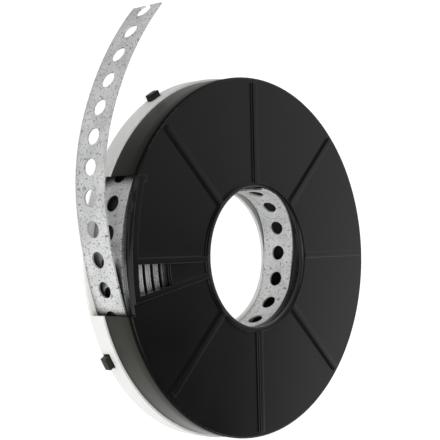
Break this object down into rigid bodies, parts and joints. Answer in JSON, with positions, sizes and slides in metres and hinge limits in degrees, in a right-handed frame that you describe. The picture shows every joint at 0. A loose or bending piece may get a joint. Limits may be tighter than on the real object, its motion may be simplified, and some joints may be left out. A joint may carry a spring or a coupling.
{
  "type": "perforated steel strap in a dispenser cassette",
  "caption": "Coil of galvanised perforated steel strap in a round two-part plastic dispenser cassette, with its free end drawn out of the rim and a sight window on the front.",
  "frame": {"origin": "on the reel axis, in the plane of the cassette's back, on which it lies", "axes": "+Z along the reel axis from the back to the ribbed front; the strap leaves towards -X and its free end reaches towards +Y"},
  "size_m": [0.1637, 0.1864, 0.0252],
  "materials": {
    "galvanised_steel": "hot-dip galvanised strip, matt with fine dark specks",
    "black_plastic": "moulded, satin, lightly textured",
    "white_plastic": "moulded, satin"
  },
  "bodies": {
    "root": {"strap": "galvanised_steel", "front_shell": "black_plastic", "back_shell": "white_plastic"}
  },
  "joints": []
}
